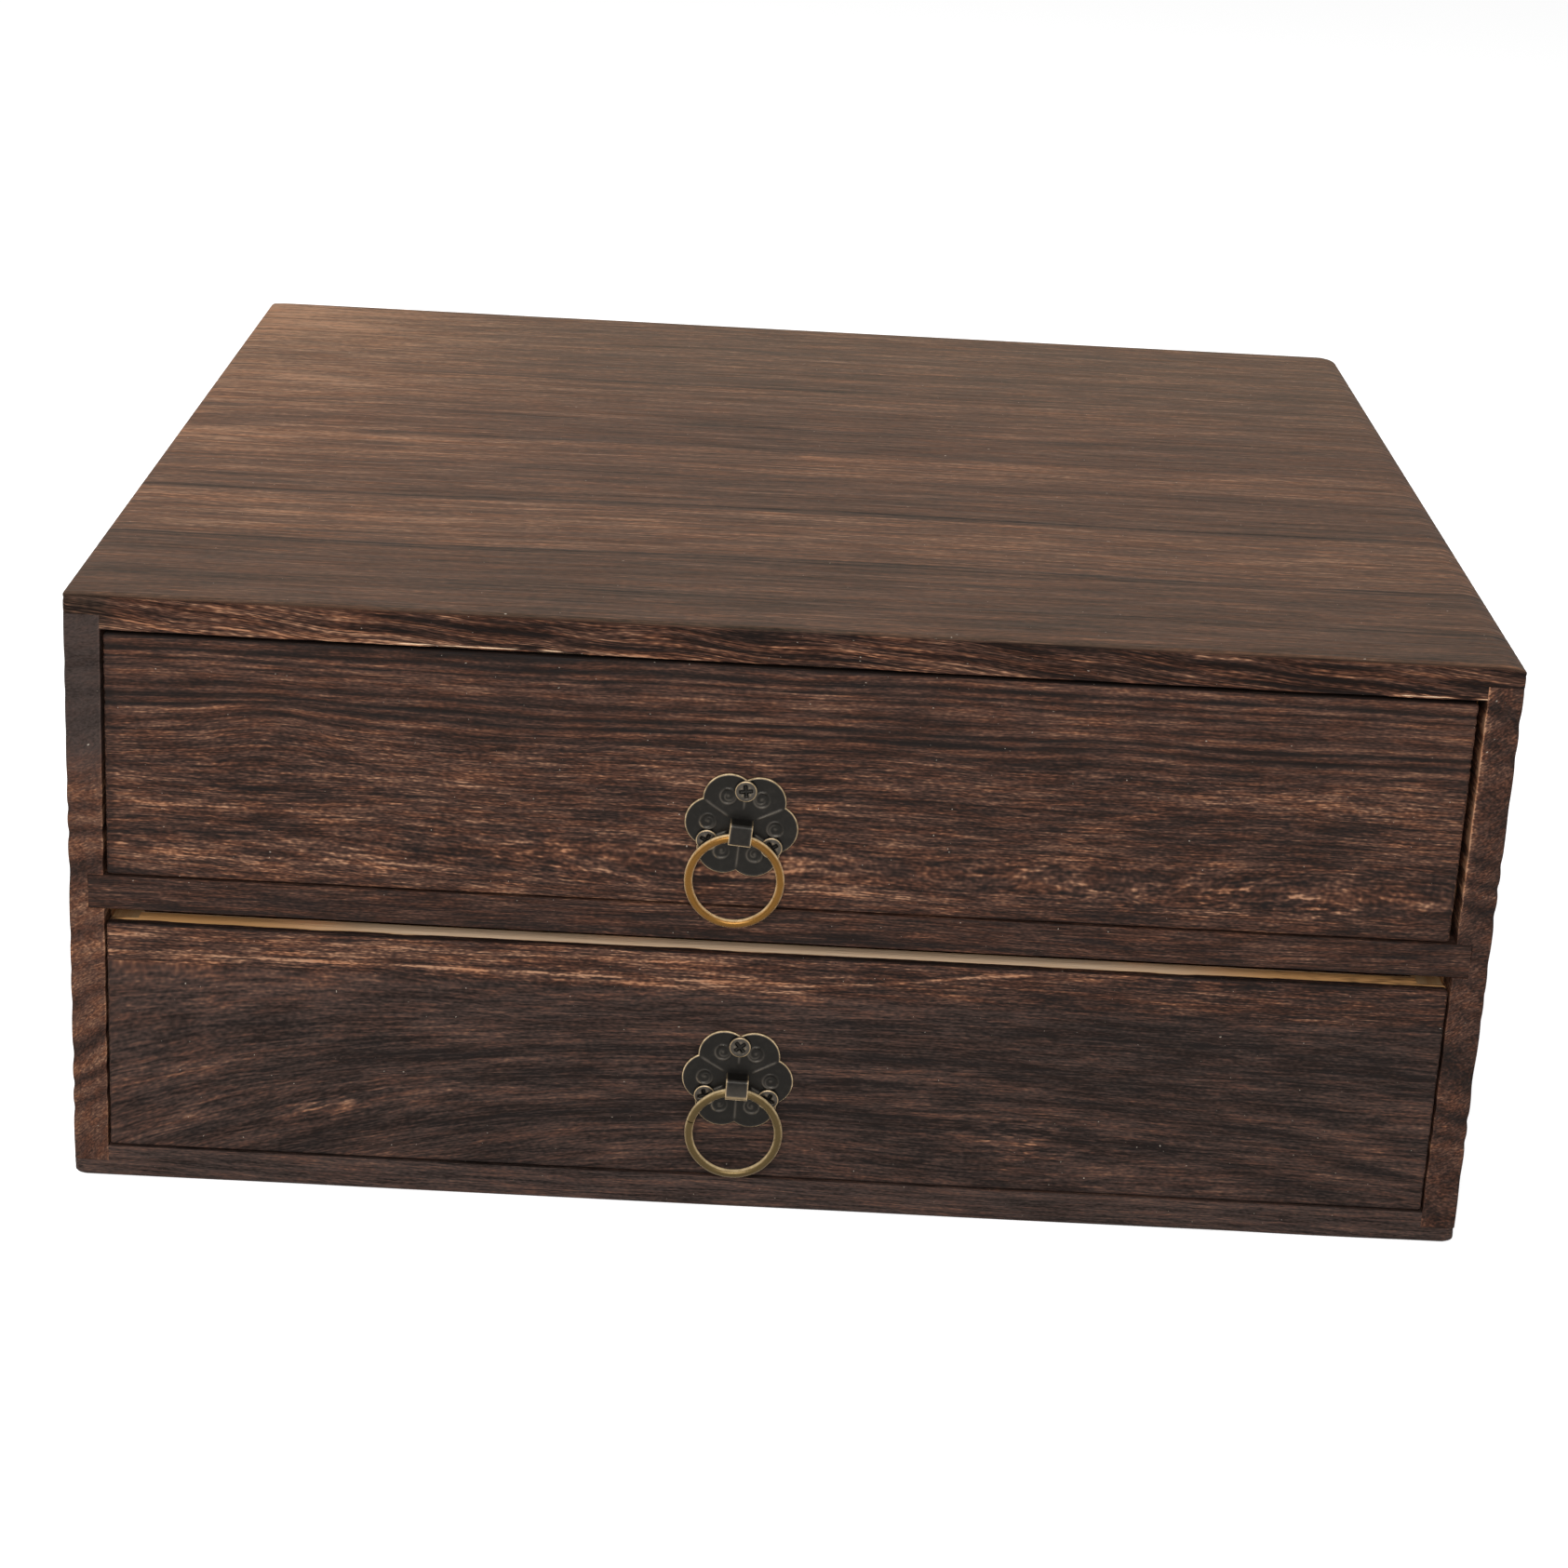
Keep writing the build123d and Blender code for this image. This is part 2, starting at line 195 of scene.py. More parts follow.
class Paint:
    """A material or a world, and its node tree."""

    def __init__(self, owner, target_kind="ShaderNodeOutputMaterial"):
        self.owner = owner
        owner.use_nodes = True
        self.tree = owner.node_tree
        self.tree.nodes.clear()
        self.target = self.tree.nodes.new(target_kind)

    def node(self, kind, settings=None, values=None, output=0):
        """Add a node: its settings first, then the values or links of its sockets."""
        made = self.tree.nodes.new(kind)
        for name, setting in (settings or {}).items():
            if name == "stops":
                self.set_stops(made.color_ramp, setting)
            else:
                setattr(made, name, setting)
        for name, value in (values or {}).items():
            if isinstance(value, Socket):
                self.tree.links.new(value.link, made.inputs[name])
            else:
                made.inputs[name].default_value = value
        return Socket(self, made.outputs[output])

    @staticmethod
    def set_stops(ramp, stops):
        """Give a colour ramp its stops, each a place and a colour."""
        while len(ramp.elements) < len(stops):
            ramp.elements.new(1.0)
        for element, (place, shade) in zip(ramp.elements, stops):
            element.position = place
            element.color = shade

    def attribute(self, name, output="Fac"):
        """An attribute of the mesh."""
        return self.node("ShaderNodeAttribute", {"attribute_name": name}, output=output)

    def split(self, vector):
        """The three parts of a vector."""
        parts = self.node("ShaderNodeSeparateXYZ", None, {0: vector}).link.node
        return [Socket(self, parts.outputs[axis]) for axis in range(3)]

    def place(self):
        """The object's own coordinates in millimetres, as three parts."""
        coordinates = self.node("ShaderNodeTexCoord", output="Object")
        return [part / mm for part in self.split(coordinates)]

    def noise(self, x, y, z, detail=2.0, roughness=0.5):
        """Soft noise from 0 to 1 at a point."""
        vector = self.node("ShaderNodeCombineXYZ", None, {0: x, 1: y, 2: z})
        values = {"Vector": vector, "Scale": 1.0, "Detail": detail, "Roughness": roughness}
        return self.node("ShaderNodeTexNoise", None, values)

    def ramp(self, value, stops):
        """Colour of a value from 0 to 1, by stops."""
        return self.node("ShaderNodeValToRGB", {"stops": stops}, {0: value})

    def mix(self, factor, first, second, blend="MIX"):
        """Colour between two colours."""
        settings = {"data_type": "RGBA", "blend_type": blend}
        return self.node("ShaderNodeMix", settings, {0: factor, 6: first, 7: second}, output=2)

    def bump(self, height, distance, strength=1.0):
        """Normal of a surface raised by height times distance, in metres."""
        values = {"Height": height, "Distance": distance, "Strength": strength}
        return self.node("ShaderNodeBump", None, values)

    def seen_rays(self):
        """1 for rays of the camera, off gloss and through glass, and 0 for those that light."""
        path = self.node("ShaderNodeLightPath").link.node
        camera, glossy, through = (
            Socket(self, path.outputs[f"Is {kind} Ray"]) for kind in ("Camera", "Glossy", "Transmission"))
        return camera.maths("MAXIMUM", camera, camera.maths("MAXIMUM", glossy, through))

    def finish(self, shader):
        """Join the shader to the output."""
        self.tree.links.new(shader.link, self.target.inputs["Surface"])
        return self.owner

    def surface(self, **values):
        """Finish the tree with a Principled surface. Names are its sockets, with _ for a space."""
        sockets = {name.replace("_", " "): value for name, value in values.items()}
        return self.finish(self.node("ShaderNodeBsdfPrincipled", None, sockets))


def new_paint(name):
    """A new material to paint."""
    return Paint(bpy.data.materials.new(name))


def colour(red, green, blue):
    """Linear colour of screen values from 0 to 255."""
    parts = [part / 255 for part in (red, green, blue)]
    linear = [part / 12.92 if part <= 0.04045 else ((part + 0.055) / 1.055) ** 2.4 for part in parts]
    return (*linear, 1.0)


# Meshes

def make_piece(name, body, points, faces, material, replaced, marks, sharp_angle=35.0):
    """A piece from points in millimetres, quads and triangles, with its attributes."""
    mesh = bpy.data.meshes.new(name)
    listed = [face for group in faces for face in group.tolist()]
    mesh.from_pydata((points * mm).tolist(), [], listed)
    for mark, values in marks.items():
        kind, field = ("FLOAT_VECTOR", "vector") if values.ndim == 2 else ("FLOAT", "value")
        layer = mesh.attributes.new(mark, kind, "POINT")
        layer.data.foreach_set(field, values.astype(np.float32).ravel())
    mesh.shade_smooth()
    mesh.set_sharp_from_angle(angle=radians(sharp_angle))
    mesh.materials.append(material)
    piece = bpy.data.objects.new(name, mesh)
    bpy.context.collection.objects.link(piece)
    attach(piece, body)
    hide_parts(*replaced)


def waves(points, lengths, seed, count=14):
    """Smooth field, mostly between -1 and 1: a sum of sine waves with seeded directions and
    phases, whose lengths along the three axes are about those given."""
    source = np.random.default_rng(seed)
    directions = source.normal(size=(count, 3)) / np.array(lengths)
    phases = source.uniform(0, 2 * pi, count)
    return np.sin(points @ directions.T * 2 * pi + phases).sum(1) / np.sqrt(count)


def grid_lines(low, high, pitch, round_low=0.0, round_high=0.0, steps=()):
    """Grid lines of one axis of a board: even between its rounded ends, closer together in
    them, and a pair with a hair between them at every step."""
    spread = np.tan(np.linspace(0, pi / 4, arc_rows + 1))
    count = max(2, round((high - low) / pitch) + 1)
    lines = [
        np.linspace(low + round_low, high - round_high, count),
        low + round_low * (1 - spread),
        high - round_high * (1 - spread),
    ]
    lines += [[step - step_gap / 2, step + step_gap / 2] for step in steps]
    return np.unique(np.round(np.concatenate(lines), 4))


def board_skin(lines, low_radii, high_radii):
    """Points, outward directions and quads of a board.

    The outside points of a block of grid lines are numbered once, so the six sides share their
    edges. Near a rounded edge a point's offset from the core of the block is turned from a
    square to a circle: it keeps its largest part as its length."""
    counts = tuple(len(axis) for axis in lines)
    outside = np.zeros(counts, bool)
    for axis in range(3):
        for end in (0, -1):
            outside[(slice(None),) * axis + (end,)] = True
    number = np.full(counts, -1)
    number[outside] = np.arange(outside.sum())
    place = np.nonzero(outside)
    points = np.stack([lines[axis][place[axis]] for axis in range(3)], 1)

    low_radii = np.array(low_radii, float)
    high_radii = np.array(high_radii, float)
    low = np.array([axis[0] for axis in lines])
    high = np.array([axis[-1] for axis in lines])
    core = np.clip(points, low + low_radii, high - high_radii)
    radius = np.where(points < core, low_radii, high_radii)
    reach = np.divide(points - core, radius, out=np.zeros_like(points), where=radius > 0)
    largest = np.abs(reach).max(1, keepdims=True)
    turned = reach * largest / np.maximum(np.linalg.norm(reach, axis=1, keepdims=True), 1e-9)

    flat = np.zeros_like(points)
    for axis in range(3):
        flat[(place[axis] == 0) & (low_radii[axis] == 0), axis] = -1
        flat[(place[axis] == counts[axis] - 1) & (high_radii[axis] == 0), axis] = 1
    outward = turned * (largest > 0.999) + flat
    outward /= np.maximum(np.linalg.norm(outward, axis=1, keepdims=True), 1e-9)

    faces = []
    for axis in range(3):
        for end in (0, -1):
            sheet = np.take(number, end, axis)
            corners = (sheet[:-1, :-1], sheet[1:, :-1], sheet[1:, 1:], sheet[:-1, 1:])
            quads = np.stack(corners, -1).reshape(-1, 4)
            faces.append(quads if (end == -1) != (axis == 1) else quads[:, ::-1])
    return core + radius * turned, outward, faces


def squeeze(value, knee, base, level):
    """Move what lies at base to level, and everything between knee and base in proportion."""
    beyond = (value - knee) * (base - knee) > 0
    return np.where(beyond, knee + (value - knee) * (level - knee) / (base - knee), value)


def growth_lines(ring, spacing, seed):
    """Growth rings, 1 between them and less on each dark line. A line comes once in every
    spacing, and sine waves of the ring distance shift and weaken the lines."""
    phases = np.random.default_rng(seed).uniform(0, 2 * pi, 3)
    turn = ring / spacing
    shift = 0.22 * np.sin(2 * pi * turn / 3.3 + phases[0])
    shift = shift + 0.16 * np.sin(2 * pi * turn / 7.1 + phases[1])
    strength = 0.7 + 0.3 * np.sin(2 * pi * turn / 5.3 + phases[2])
    return 1 - strength * np.exp(-(((turn + shift) % 1 - 0.5) / 0.22) ** 2)


def spot(x, z, middle_x, middle_z, length, height):
    """Soft oval patch of wood: 1 in its middle, fading over its length and height."""
    return np.exp(-((x - middle_x) / length) ** 2 - ((z - middle_z) / height) ** 2)


def stripe(distance, width):
    """1 on a line, fading over the width to both sides of it."""
    return np.exp(-(distance / width) ** 2)


def patches(x, z, rows):
    """Sum of soft oval patches, each row its strength and the rest of its spot."""
    return sum(strength * spot(x, z, *place) for strength, *place in rows)


def within(distance, sharpness):
    """Close to 1 where a distance is below 0, and close to 0 above."""
    return 1 / (1 + np.exp(distance * sharpness))


def rise(value, start, end):
    """Smooth step from 0 at start to 1 at end."""
    share = np.clip((value - start) / (end - start), 0, 1)
    return share * share * (3 - 2 * share)


def unburnt(points, front):
    """Raw wood inside the carcass: none at the scorched front edge, all from 14 mm behind it."""
    ragged = 2.0 * waves(points, (25, 12, 25), 71)
    return rise(points[:, 1] - front + ragged, 5, 14)


def make_board(node, body, skin, grain, band, ripple=0.2, tone=0.0, bare=0.0, figure=1.0,
               dashes=0.0, film=0.0, wood=None):
    """A board with brushed relief: its dark growth lines lie below the surface by the ripple.
    Tone makes the burn lighter or darker, bare takes it away, figure is the strength of the
    streaks, dashes adds short light ones, and a painted sheen greys it by its share. The wood
    is burnt unless given."""
    points, outward, faces = skin
    fields = {"band": band, "tone": tone, "bare": np.clip(bare, 0, 1), "figure": figure,
              "dashes": dashes, "film": film}
    marks = {name: field + np.zeros(len(points)) for name, field in fields.items()}
    depth = ripple * (1 - marks["band"]) * (1 - 0.8 * marks["bare"])
    marks["grain"] = np.stack(grain, 1)
    make_piece(f"{node}_brushed", body, points - outward * depth[:, None], faces,
               wood or burnt, (node,), marks)


# Wood

burn_stops = [
    (0.08, colour(24, 18, 16)),
    (0.32, colour(41, 29, 24)),
    (0.48, colour(59, 41, 34)),
    (0.66, colour(82, 57, 46)),
    (0.82, colour(112, 81, 63)),
    (1.00, colour(164, 124, 97)),
]
amber_wood = colour(228, 172, 112)
pale_raw_wood = colour(254, 221, 186)
dust = colour(196, 184, 168)
# The two grey colours are painted sheen: the grey of light glancing off the wood, mixed into its colour.
grey_sheen = colour(118, 112, 109)
olive_sheen = colour(118, 117, 98)
rust = (1.0, 0.70, 0.50, 1.0)


def burnt_wood(name, shine, sheen_colour):
    """Burnt and brushed wood: streaks, fibres, threads, pores and patches laid along the grain
    attribute and scaled by figure, dark growth lines from the band attribute, lighter or darker
    by tone, light dashes by dashes, a painted sheen that greys it by its own attribute in the
    sheen colour given, rusty spots, and amber to pale raw wood by bare."""
    paint = new_paint(name)
    along, ring, across = paint.split(paint.attribute("grain", "Vector"))
    band, bare, tone = (paint.attribute(mark) for mark in ("band", "bare", "tone"))
    figure, dashes, film = (paint.attribute(mark) for mark in ("figure", "dashes", "film"))
    line = ring + (paint.noise(along / 70, ring / 6, across / 6, 0.0) - 0.5) * 1.2

    def layer(length, width, detail=0.0):
        """Noise drawn out along the grain, by its length along it and its width across."""
        return paint.noise(along / length, line / width, across / width, detail)

    streak = layer(26, 1.0, 1.0)
    fibre = layer(10, 0.5)
    thread = layer(5, 0.28)
    warmth = layer(13, 1.5, 1.0)
    pore = layer(1.2, 0.32)
    dash = layer(3.6, 0.42)
    patch = paint.noise(along / 28, ring / 5, across / 5, 1.0)
    cluster = paint.noise((along - ring * 1.5) / 7, ring / 3, across / 3, 0.0)
    level = 0.5 + tone * 0.2 + (band - 1) * 0.3 + figure * (
        (streak - 0.5) * 0.50 + (fibre.rise(0.3, 0.7) - 0.5) * 0.28
        + (thread.rise(0.35, 0.65) - 0.5) * 0.22 + (pore - 0.5) * 0.75 + (patch - 0.5) * 0.65
    ) + dashes * (dash.rise(0.48, 0.62) * cluster.rise(0.42, 0.58) * 0.34 - 0.06)
    charred = paint.ramp(level, burn_stops)
    specks = layer(0.6, 0.5).rise(0.87, 0.91)
    charred = paint.mix(warmth.rise(0.42, 0.62) * 0.45, charred, rust, "MULTIPLY")
    # Painted sheen: grey mixed into the colour by its share, more on the lighter wood.
    charred = paint.mix(film * level.rise(0.05, 0.45), charred, sheen_colour)
    charred = paint.mix(specks * 0.6, charred, dust)
    raw = paint.mix(tone.rise(-0.8, 0.8), amber_wood, pale_raw_wood)
    raw = paint.mix(fibre.rise(0.3, 0.7) * 0.2, raw, amber_wood)
    ragged = (streak - 0.5) * 0.6 + (dash - 0.5) * 0.7
    edge = (bare + ragged * bare).rise(0.35, 0.65)
    height = fibre * 0.4 + thread * 0.3 + streak * 0.3
    return paint.surface(
        Base_Color=paint.mix(edge, charred, raw),
        Roughness=0.66 + (0.5 - streak) * 0.25,
        Specular_IOR_Level=shine,
        Normal=paint.bump(height, 0.30 * mm, 0.8),
    )


burnt = burnt_wood("burnt_wood", 0.1, grey_sheen)
# The top's copy has less shine and an olive painted sheen.
burnt_top = burnt_wood("burnt_top_wood", 0.05, olive_sheen)


def plain_wood(name, base, streak, width, front_to_back=False):
    """Planed wood without stain, its grain from side to side or from front to back, on the
    object's own coordinates."""
    paint = new_paint(name)
    x, y, z = paint.place()
    if front_to_back:
        x, y = y, x
    drift = paint.noise(x / 60, y / 14, z / 14) * 3
    grain = paint.noise(x / 45, (y + drift) / width, z / width, 3.0, 0.6)
    pores = paint.noise(x / 6, y / 0.4, z / 0.4, 2.0)
    shown = paint.mix(grain.rise(0.3, 0.7), base, streak)
    pore_colour = [part * 0.6 for part in base[:3]] + [1.0]
    return paint.surface(
        Base_Color=paint.mix(pores.rise(0.6, 0.75) * 0.4, shown, pore_colour),
        Roughness=0.6 + pores * 0.1,
        Normal=paint.bump(grain * 0.5 + pores * 0.5, 0.12 * mm),
    )


# Carcass boards

inner_half_width = node_box("right_side_panel")[0][0]
back_face = node_box("back_panel")[0][1]
rebate_half_width = inner_half_width + back_rebate_width


def make_top_panel():
    """Top board, with the rabbets over the sides and the rebate for the back panel below."""
    low, high = node_box("top_panel")
    sides = (-rebate_half_width, -inner_half_width, inner_half_width, rebate_half_width)
    lines = (
        grid_lines(low[0], high[0], 3.6, top_left_radius, top_right_radius, sides),
        grid_lines(low[1], high[1], 0.95, top_radius, top_radius, (back_face,)),
        grid_lines(low[2], high[2], 0.45, 0, top_radius),
    )
    points, outward, faces = board_skin(
        lines, (top_left_radius, top_radius, 0), (top_right_radius, top_radius, top_radius))
    x, y, z = points.T
    level = np.where(abs(x) > inner_half_width, low[2] + top_rabbet_depth, low[2])
    rebated = (y > back_face) & (abs(x) < rebate_half_width)
    level = np.where(rebated, low[2] + back_rebate_width, level)
    points[:, 2] = squeeze(z, high[2] - top_whole_depth, low[2], level)
    past_start = abs(points[:, 0]) - corner_drop_start
    towards_end = np.clip(past_start / (high[0] - corner_drop_start), 0, 1) ** 2
    towards_top = np.clip((points[:, 2] - high[2]) / top_whole_depth + 1, 0, 1)
    corner_drop = np.where(x < 0, left_corner_drop, right_corner_drop)
    dropped = corner_drop * towards_end * towards_top
    points[:, 2] -= dropped

    x, y, z = points.T
    below = high[2] - dropped - z
    on_edge = rise(below, 0.5, 1.1)
    falling = below - top_edge_fall * x + 0.5 * waves(points, (60, 60, 20), 13)
    bend = 1.2 * waves(points, (420, 60, 40), 3)
    stave_place = y + 4 * (1 - rise(x, -170, 20)) + bend
    ring = stave_place * 0.9 + on_edge * falling * 1.3
    grain = (x * 0.65, ring, -below * (1 - on_edge) - 0.4 * falling * on_edge - y * 0.15)

    face_tone = 0.15 + np.interp(stave_place, *np.array(top_staves).T)
    # The left of the top is painted lighter, most at its back left corner: partly its lighter wood at the
    # left end, partly painted light falling from the back left.
    face_tone = face_tone + 0.8 * rise(-x, 40, 165) * rise(y, -130, 40)
    face_tone = face_tone + 0.2 * spot(x, y, -120, -85, 70, 28)
    face_tone = face_tone + 0.3 * rise(-x, 100, 160) * rise(y, 90, 130)
    for seam_place, strength in top_seams:
        seam = stripe(stave_place - seam_place, 0.6)
        seam = seam + 0.6 * stripe(stave_place - seam_place + 2.2, 0.5)
        face_tone = face_tone - 1.7 * strength * seam

    lenses = rise(waves(points, (90, 60, 4), 15), -0.7, 0.4)
    flames = (1 - growth_lines(ring, 4.6, 5)) * lenses
    edge_tone = 0.15 + 0.25 * rise(-x, 60, 110) - 1.2 * rise(-x, 156, 163)
    edge_tone = edge_tone - 3.4 * flames * rise(x, -110, -75)
    edge_tone = edge_tone + 0.5 * stripe(z - low[2] - 1.2, 0.8) * rise(-x, 15, 30)
    for streak_height, strength in top_left_streaks:
        level = z + top_edge_fall * (x + 160)
        streak = stripe(level - streak_height, 0.28) * rise(-x, 108, 128)
        edge_tone = edge_tone + strength * streak * rise(x, -163, -156)
    tone = face_tone + on_edge * (edge_tone - face_tone)

    on_front = rise(-y, -low[1] - 1.2, -low[1] - 0.4)
    worn = rise(waves(points, (16, 8, 40), 8), -1.0, 0.2)
    bare = 0.75 * stripe(z - (low[2] + 0.2), 0.4) * worn * on_front * (
        rise(x, -112, -100) * rise(-x, 15, 30) + rise(x, 135, 142))
    tone = np.where(bare > 0.05, 1.0, tone)
    inside = (outward[:, 2] < -0.5) & (abs(x) < inner_half_width)
    bare = np.where(inside, unburnt(points, low[1]), bare)
    band = 1 - (1 - growth_lines(ring, 3.7, 11)) * (0.3 + 0.4 * on_edge)
    # Painted sheen: grey over the top's face, more towards the back where the light glances off it, and a
    # little on the left end of its front edge.
    film = (0.10 + 0.07 * rise(y, 0, 140)) * (1 - on_edge)
    film = film + 0.05 * on_edge * rise(-x, 156, 163)
    make_board("top_panel", "carcass", (points, outward, faces), grain, band, 0.25, tone, bare,
               0.5 + 0.5 * on_edge, 0.0, film, burnt_top)


def make_bottom_panel():
    """Bottom board, with the rabbets under the sides and the rebate for the back panel above."""
    low, high = node_box("bottom_panel")
    sides = (-rebate_half_width, -inner_half_width, inner_half_width, rebate_half_width)
    lines = (
        grid_lines(low[0], high[0], 5.0, bottom_end_radius, bottom_end_radius, sides),
        grid_lines(low[1], high[1], 2.5, bottom_radius, bottom_radius, (back_face,)),
        grid_lines(low[2], high[2], 0.5, bottom_radius, 0),
    )
    radii = (bottom_end_radius, bottom_radius, bottom_radius)
    points, outward, faces = board_skin(lines, radii, (bottom_end_radius, bottom_radius, 0))
    x, y, z = points.T
    step = high[2] - node_box("right_side_panel")[0][2]
    level = np.where(abs(x) > inner_half_width, high[2] - step, high[2])
    rebated = (y > back_face) & (abs(x) < rebate_half_width)
    level = np.where(rebated, high[2] - back_rebate_width, level)
    points[:, 2] = squeeze(z, low[2] + bottom_whole_depth, high[2], level)

    x, y, z = points.T
    ring = z * 1.3 + y * 0.5 + x * 0.02 + 1.2 * waves(points, (200, 50, 30), 4)
    grain = (x, ring, y - z * 0.4)
    inside = (outward[:, 2] > 0.5) & (abs(x) < inner_half_width)
    tone = np.where(inside, -0.4, 0.45 * spot(x, z, -110, 7, 50, 2) - 0.35)
    bare = np.where(inside, unburnt(points, low[1]), 0.0)
    band = 1 - (1 - growth_lines(ring, 4.0, 21)) * 0.5
    # The bottom gets a light painted sheen.
    make_board("bottom_panel", "carcass", (points, outward, faces), grain, band, 0.25, tone,
               bare, 0.7, 0.0, 0.09)


def make_side_panel(name, sign):
    """Side board with its housing for the shelf and the rebate for the back panel."""
    low, high = node_box(name)
    shelf_low, shelf_high = node_box("middle_shelf")
    inner, outer = inner_half_width, max(abs(low[0]), abs(high[0]))
    housing = inner + shelf_housing_depth
    lines = (
        grid_lines(inner, outer, 0.6, 0, side_radius),
        grid_lines(low[1], high[1], 5.0, side_radius, side_radius, (back_face,)),
        grid_lines(low[2], high[2], 0.8, 0, 0, (shelf_low[2], shelf_high[2])),
    )
    points, outward, faces = board_skin(lines, (0, side_radius, 0), (side_radius, side_radius, 0))
    x, y, z = points.T
    housed = (z > shelf_low[2]) & (z < shelf_high[2]) & (y < back_face)
    level = np.where(housed, housing, inner)
    level = np.where(y > back_face, rebate_half_width, level)
    points[:, 0] = squeeze(x, outer - side_whole_depth, inner, level)
    inside = outward[:, 0] < -0.5
    if sign < 0:
        points[:, 0] *= -1
        outward[:, 0] *= -1
        faces = [group[:, ::-1] for group in faces]

    x, y, z = points.T
    bend = 2.0 * waves(points, (60, 300, 70), 31 + sign)
    ring = z * 0.85 + sign * x * 0.35 + bend
    grain = (y, z * 0.8 - x * 0.5 + bend, (x + z) * 0.35)
    band = growth_lines(ring, 8.5, 33 + sign)
    on_front = rise(-y, -low[1] - 4, -low[1] - 1)
    ragged = rise(waves(points, (20, 20, 14), 38 + sign), -0.6, 0.6)
    if sign < 0:
        inner_arris = 2.2 * ragged * stripe(abs(x) - inner, 0.9)
        tone = 0.95 - 1.7 * on_front * rise(z, 102, 114)
        tone = tone - 0.2 * (1 - band) * rise(-z, -110, -90)
        arris_wear = rise(z, 78, 84) * rise(-z, -110, -102)
        figure = 0.85 - 0.35 * on_front
    else:
        inner_arris = 0.8 * rise(-abs(x), -inner - 2.2, -inner - 0.8)
        tone = 0.05 + 0.1 * rise(-z, -40, -20)
        arris_wear = rise(z, 78, 88)
        figure = 0.85 - 0.2 * on_front
    # Painted sheen near the top of the left side's front: greyer, with fainter growth lines and figure.
    sheen_area = rise(z, 100, 114) * rise(-y, 110, 156) * (sign < 0)
    film = 0.12 * sheen_area
    band = 1 - (1 - band) * (1 - 0.6 * sheen_area)
    tone = tone + inner_arris * on_front * arris_wear + 0.6 * inside
    bare = np.where(inside, unburnt(points, low[1]), 0.0)
    tone = np.where(bare > 0.3, -0.4, tone)
    lit_strip = inside * rise(z, 84, 92) * rise(-y, -low[1] - 4.5, -low[1] - 2.5)
    tone = tone + 1.8 * lit_strip * (sign > 0)
    make_board(name, "carcass", (points, outward, faces), grain, band, 0.34, tone, bare,
               figure - 0.25 * sheen_area, 0.0, film)


def make_middle_shelf():
    """Shelf between the drawers, with its front edge in view."""
    low, high = node_box("middle_shelf")
    lines = (
        grid_lines(low[0], high[0], 4.0),
        grid_lines(low[1], high[1], 7.0, shelf_radius, 0),
        grid_lines(low[2], high[2], 0.45, shelf_radius, shelf_radius),
    )
    radii = (0, shelf_radius, shelf_radius)
    points, outward, faces = board_skin(lines, radii, (0, 0, shelf_radius))

    x, y, z = points.T
    ring = z * 1.2 + y * 0.3 + 0.8 * waves(points, (150, 60, 20), 5)
    grain = (x, ring, y + z * 0.2)
    tone = 0.4 * spot(x, z, 120, 75, 40, 3) - 0.35
    band = 1 - (1 - growth_lines(ring, 3.4, 41)) * 0.7
    make_board("middle_shelf", "carcass", (points, outward, faces), grain, band, 0.15, tone,
               unburnt(points, low[1]), 0.8)


# Drawer fronts

def make_drawer_front(level_name, wood_of, burnt_depth, seed):
    """Drawer front with its rear rabbets for the drawer sides. It is burnt on its face and over
    its edges to the burnt depth, and raw behind."""
    name = f"{level_name}_drawer_front"
    low, high = node_box(name)
    ends = (low[0] + drawer_side_thickness, high[0] - drawer_side_thickness)
    lines = (
        grid_lines(low[0], high[0], 2.2, front_edge_radius, front_edge_radius, ends),
        grid_lines(low[1], high[1], 0.7, front_edge_radius, 0),
        grid_lines(low[2], high[2], 0.42, front_edge_radius, front_edge_radius),
    )
    radii = (front_edge_radius,) * 3
    points, outward, faces = board_skin(lines, radii, (front_edge_radius, 0, front_edge_radius))
    x, y, z = points.T
    at_end = (x < ends[0]) | (x > ends[1])
    level = np.where(at_end, low[1] + front_rabbet_depth, high[1])
    points[:, 1] = squeeze(y, low[1] + front_whole_depth, high[1], level)

    x, y, z = points.T
    bend, band, tone, figure, dashes, film = wood_of(x, z, points)
    grain = (x, z + bend + (y - low[1]) * 0.5, y + z * 0.1)
    rim = low[1] + burnt_depth + 0.12 * burnt_depth * waves(points, (26, 40, 40), seed + 5)
    bare = rise(y, rim - 0.25, rim + 0.35)
    bare = bare * (1 - 0.45 * rise(x, 60, 160) - 0.6 * rise(-x, 152, 160))
    edge_tone = 0.9 - 1.8 * rise(abs(x), 70, 150)
    tone = np.where(outward[:, 2] > 0.5, edge_tone * bare - 1.2 * (1 - bare), tone)
    tone = np.where(outward[:, 1] > 0.5, 0.4, tone)
    make_board(name, f"{level_name}_drawer", (points, outward, faces), grain, band, 0.2, tone,
               bare, figure, dashes, film)


